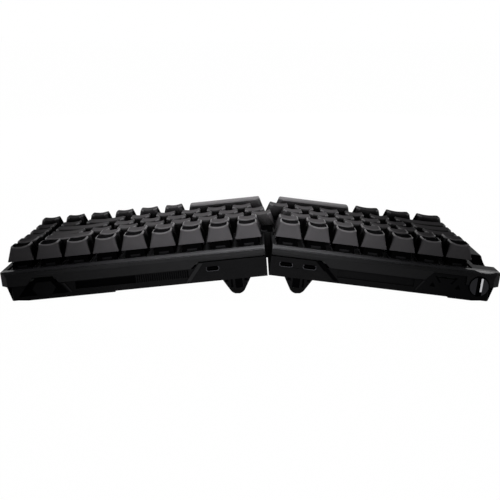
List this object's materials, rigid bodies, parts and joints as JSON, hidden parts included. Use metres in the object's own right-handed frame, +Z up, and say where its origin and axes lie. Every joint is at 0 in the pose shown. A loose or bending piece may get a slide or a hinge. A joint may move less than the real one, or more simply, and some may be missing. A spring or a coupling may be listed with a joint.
{
  "type": "ergonomic split keyboard",
  "caption": "Split computer keyboard in two tented halves on fold-out legs, with staggered sprung keys, USB-C sockets and a round control wheel on the back.",
  "frame": {"origin": "centre of the bounding box in plan, on the desk plane", "axes": "+X to the user's right along the keyboard, +Y away from the user to the back wall, +Z up"},
  "size_m": [0.3318, 0.1292, 0.0519],
  "materials": {
    "case_top": "fine matte grain",
    "case_bottom": "fine matte grain, darker",
    "keycap": "dry satin",
    "switch": "smooth moulded",
    "spring_steel": "bright wire",
    "plate_metal": "black coated sheet",
    "board": "solder mask",
    "rubber": "matte",
    "leg": "fine matte grain",
    "screw": "blackened",
    "socket": "drawn shell",
    "wheel_body": "fine satin",
    "wheel_bar": "bright satin"
  },
  "bodies": {
    "left_half": {"left_bottom_case": "case_bottom", "left_top_case": "case_top", "left_switch_plate": "plate_metal", "left_circuit_board": "board", "left_switch_housings": "switch", "left_switch_springs": "spring_steel", "left_stabilisers": "switch", "left_fixed_keys": "keycap", "left_rubber_feet": "rubber", "left_case_screws": "screw", "left_host_socket": "socket", "left_link_socket": "socket", "wheel_encoder": "switch"},
    "right_half": {"right_bottom_case": "case_bottom", "right_top_case": "case_top", "right_switch_plate": "plate_metal", "right_circuit_board": "board", "right_switch_housings": "switch", "right_switch_springs": "spring_steel", "right_stabilisers": "switch", "right_fixed_keys": "keycap", "right_rubber_feet": "rubber", "right_case_screws": "screw", "right_link_socket": "socket"},
    "key_f6": {"key_f6": "keycap"},
    "key_f5": {"key_f5": "keycap"},
    "key_f4": {"key_f4": "keycap"},
    "key_f3": {"key_f3": "keycap"},
    "key_f2": {"key_f2": "keycap"},
    "key_f1": {"key_f1": "keycap"},
    "key_esc": {"key_esc": "keycap"},
    "key_f7": {"key_f7": "keycap"},
    "key_f8": {"key_f8": "keycap"},
    "key_f9": {"key_f9": "keycap"},
    "key_f10": {"key_f10": "keycap"},
    "key_f11": {"key_f11": "keycap"},
    "key_f12": {"key_f12": "keycap"},
    "key_insert": {"key_insert": "keycap"},
    "key_delete": {"key_delete": "keycap"},
    "key_home": {"key_home": "keycap"},
    "key_g": {"key_g": "keycap"},
    "key_f": {"key_f": "keycap"},
    "key_d": {"key_d": "keycap"},
    "key_s": {"key_s": "keycap"},
    "key_a": {"key_a": "keycap"},
    "key_h": {"key_h": "keycap"},
    "key_j": {"key_j": "keycap"},
    "key_k": {"key_k": "keycap"},
    "key_l": {"key_l": "keycap"},
    "key_semicolon": {"key_semicolon": "keycap"},
    "space_bar_left": {"space_bar_left": "keycap"},
    "space_bar_right": {"space_bar_right": "keycap"},
    "left_space_wire": {"left_space_wire": "spring_steel"},
    "right_space_wire": {"right_space_wire": "spring_steel"},
    "left_rear_leg": {"left_rear_leg": "leg"},
    "left_front_leg": {"left_front_leg": "leg"},
    "right_rear_leg": {"right_rear_leg": "leg"},
    "right_front_leg": {"right_front_leg": "leg"},
    "wheel": {"control_wheel": "wheel_body", "wheel_inlay": "wheel_bar"}
  },
  "joints": [
    {"name": "halves_apart", "type": "slide", "parent": "left_half", "child": "right_half", "axis": [1, 0, 0], "range_m": [0, 0.3]},
    {"name": "key_f6_press", "type": "slide", "parent": "left_half", "child": "key_f6", "axis": [0.1248, 0.0349, -0.9916], "range_m": [0, 0.0035], "stiffness_N_per_m": 80, "springref_m": -0.004, "deforming": ["left_switch_springs"]},
    {"name": "key_f5_press", "type": "slide", "parent": "left_half", "child": "key_f5", "axis": [0.1248, 0.0349, -0.9916], "range_m": [0, 0.0035], "stiffness_N_per_m": 80, "springref_m": -0.004, "deforming": ["left_switch_springs"]},
    {"name": "key_f4_press", "type": "slide", "parent": "left_half", "child": "key_f4", "axis": [0.1248, 0.0349, -0.9916], "range_m": [0, 0.0035], "stiffness_N_per_m": 80, "springref_m": -0.004, "deforming": ["left_switch_springs"]},
    {"name": "key_f3_press", "type": "slide", "parent": "left_half", "child": "key_f3", "axis": [0.1248, 0.0349, -0.9916], "range_m": [0, 0.0035], "stiffness_N_per_m": 80, "springref_m": -0.004, "deforming": ["left_switch_springs"]},
    {"name": "key_f2_press", "type": "slide", "parent": "left_half", "child": "key_f2", "axis": [0.1248, 0.0349, -0.9916], "range_m": [0, 0.0035], "stiffness_N_per_m": 80, "springref_m": -0.004, "deforming": ["left_switch_springs"]},
    {"name": "key_f1_press", "type": "slide", "parent": "left_half", "child": "key_f1", "axis": [0.1248, 0.0349, -0.9916], "range_m": [0, 0.0035], "stiffness_N_per_m": 80, "springref_m": -0.004, "deforming": ["left_switch_springs"]},
    {"name": "key_esc_press", "type": "slide", "parent": "left_half", "child": "key_esc", "axis": [0.1248, 0.0349, -0.9916], "range_m": [0, 0.0035], "stiffness_N_per_m": 80, "springref_m": -0.004, "deforming": ["left_switch_springs"]},
    {"name": "key_f7_press", "type": "slide", "parent": "right_half", "child": "key_f7", "axis": [-0.1037, 0.0349, -0.994], "range_m": [0, 0.0035], "stiffness_N_per_m": 80, "springref_m": -0.004, "deforming": ["right_switch_springs"]},
    {"name": "key_f8_press", "type": "slide", "parent": "right_half", "child": "key_f8", "axis": [-0.1037, 0.0349, -0.994], "range_m": [0, 0.0035], "stiffness_N_per_m": 80, "springref_m": -0.004, "deforming": ["right_switch_springs"]},
    {"name": "key_f9_press", "type": "slide", "parent": "right_half", "child": "key_f9", "axis": [-0.1037, 0.0349, -0.994], "range_m": [0, 0.0035], "stiffness_N_per_m": 80, "springref_m": -0.004, "deforming": ["right_switch_springs"]},
    {"name": "key_f10_press", "type": "slide", "parent": "right_half", "child": "key_f10", "axis": [-0.1037, 0.0349, -0.994], "range_m": [0, 0.0035], "stiffness_N_per_m": 80, "springref_m": -0.004, "deforming": ["right_switch_springs"]},
    {"name": "key_f11_press", "type": "slide", "parent": "right_half", "child": "key_f11", "axis": [-0.1037, 0.0349, -0.994], "range_m": [0, 0.0035], "stiffness_N_per_m": 80, "springref_m": -0.004, "deforming": ["right_switch_springs"]},
    {"name": "key_f12_press", "type": "slide", "parent": "right_half", "child": "key_f12", "axis": [-0.1037, 0.0349, -0.994], "range_m": [0, 0.0035], "stiffness_N_per_m": 80, "springref_m": -0.004, "deforming": ["right_switch_springs"]},
    {"name": "key_insert_press", "type": "slide", "parent": "right_half", "child": "key_insert", "axis": [-0.1037, 0.0349, -0.994], "range_m": [0, 0.0035], "stiffness_N_per_m": 80, "springref_m": -0.004, "deforming": ["right_switch_springs"]},
    {"name": "key_delete_press", "type": "slide", "parent": "right_half", "child": "key_delete", "axis": [-0.1037, 0.0349, -0.994], "range_m": [0, 0.0035], "stiffness_N_per_m": 80, "springref_m": -0.004, "deforming": ["right_switch_springs"]},
    {"name": "key_home_press", "type": "slide", "parent": "right_half", "child": "key_home", "axis": [-0.1037, 0.0349, -0.994], "range_m": [0, 0.0035], "stiffness_N_per_m": 80, "springref_m": -0.004, "deforming": ["right_switch_springs"]},
    {"name": "key_g_press", "type": "slide", "parent": "left_half", "child": "key_g", "axis": [0.1248, 0.0349, -0.9916], "range_m": [0, 0.0035], "stiffness_N_per_m": 80, "springref_m": -0.004, "deforming": ["left_switch_springs"]},
    {"name": "key_f_press", "type": "slide", "parent": "left_half", "child": "key_f", "axis": [0.1248, 0.0349, -0.9916], "range_m": [0, 0.0035], "stiffness_N_per_m": 80, "springref_m": -0.004, "deforming": ["left_switch_springs"]},
    {"name": "key_d_press", "type": "slide", "parent": "left_half", "child": "key_d", "axis": [0.1248, 0.0349, -0.9916], "range_m": [0, 0.0035], "stiffness_N_per_m": 80, "springref_m": -0.004, "deforming": ["left_switch_springs"]},
    {"name": "key_s_press", "type": "slide", "parent": "left_half", "child": "key_s", "axis": [0.1248, 0.0349, -0.9916], "range_m": [0, 0.0035], "stiffness_N_per_m": 80, "springref_m": -0.004, "deforming": ["left_switch_springs"]},
    {"name": "key_a_press", "type": "slide", "parent": "left_half", "child": "key_a", "axis": [0.1248, 0.0349, -0.9916], "range_m": [0, 0.0035], "stiffness_N_per_m": 80, "springref_m": -0.004, "deforming": ["left_switch_springs"]},
    {"name": "key_h_press", "type": "slide", "parent": "right_half", "child": "key_h", "axis": [-0.1037, 0.0349, -0.994], "range_m": [0, 0.0035], "stiffness_N_per_m": 80, "springref_m": -0.004, "deforming": ["right_switch_springs"]},
    {"name": "key_j_press", "type": "slide", "parent": "right_half", "child": "key_j", "axis": [-0.1037, 0.0349, -0.994], "range_m": [0, 0.0035], "stiffness_N_per_m": 80, "springref_m": -0.004, "deforming": ["right_switch_springs"]},
    {"name": "key_k_press", "type": "slide", "parent": "right_half", "child": "key_k", "axis": [-0.1037, 0.0349, -0.994], "range_m": [0, 0.0035], "stiffness_N_per_m": 80, "springref_m": -0.004, "deforming": ["right_switch_springs"]},
    {"name": "key_l_press", "type": "slide", "parent": "right_half", "child": "key_l", "axis": [-0.1037, 0.0349, -0.994], "range_m": [0, 0.0035], "stiffness_N_per_m": 80, "springref_m": -0.004, "deforming": ["right_switch_springs"]},
    {"name": "key_semicolon_press", "type": "slide", "parent": "right_half", "child": "key_semicolon", "axis": [-0.1037, 0.0349, -0.994], "range_m": [0, 0.0035], "stiffness_N_per_m": 80, "springref_m": -0.004, "deforming": ["right_switch_springs"]},
    {"name": "space_bar_left_press", "type": "slide", "parent": "left_half", "child": "space_bar_left", "axis": [0.1248, 0.0349, -0.9916], "range_m": [0, 0.0035], "stiffness_N_per_m": 80, "springref_m": -0.004, "deforming": ["left_switch_springs"]},
    {"name": "space_bar_right_press", "type": "slide", "parent": "right_half", "child": "space_bar_right", "axis": [-0.1037, 0.0349, -0.994], "range_m": [0, 0.0035], "stiffness_N_per_m": 80, "springref_m": -0.004, "deforming": ["right_switch_springs"]},
    {"name": "left_space_wire_swing", "type": "hinge", "parent": "left_half", "child": "left_space_wire", "pos_m": [-0.04662, -0.05904, 0.02892], "axis": [-0.9922, 0, -0.1248], "range_deg": [0, 23.31]},
    {"name": "right_space_wire_swing", "type": "hinge", "parent": "right_half", "child": "right_space_wire", "pos_m": [0.01818, -0.05904, 0.02973], "axis": [-0.9946, 0, 0.1037], "range_deg": [0, 23.31]},
    {"name": "left_rear_leg_fold", "type": "hinge", "parent": "left_half", "child": "left_rear_leg", "pos_m": [-0.03346, 0.0438, 0.01766], "axis": [-0.9922, 0, -0.1248], "range_deg": [0, 90]},
    {"name": "left_front_leg_fold", "type": "hinge", "parent": "left_half", "child": "left_front_leg", "pos_m": [-0.03346, -0.0312, 0.01766], "axis": [0.9922, 0, 0.1248], "range_deg": [0, 90]},
    {"name": "right_rear_leg_fold", "type": "hinge", "parent": "right_half", "child": "right_rear_leg", "pos_m": [0.01001, 0.0438, 0.0177], "axis": [-0.9946, 0, 0.1037], "range_deg": [0, 90]},
    {"name": "right_front_leg_fold", "type": "hinge", "parent": "right_half", "child": "right_front_leg", "pos_m": [0.01001, -0.0142, 0.0177], "axis": [0.9946, 0, -0.1037], "range_deg": [0, 90]},
    {"name": "wheel_turn", "type": "hinge", "parent": "left_half", "child": "wheel", "pos_m": [-0.15068, 0.06411, 0.01007], "axis": [-0.0044, 0.9994, 0.0346], "continuous": true}
  ],
  "couplings": [
    {"joint": "left_space_wire_swing", "follows": "space_bar_left_press", "rad_per_m": 115.73},
    {"joint": "right_space_wire_swing", "follows": "space_bar_right_press", "rad_per_m": 115.73}
  ]
}
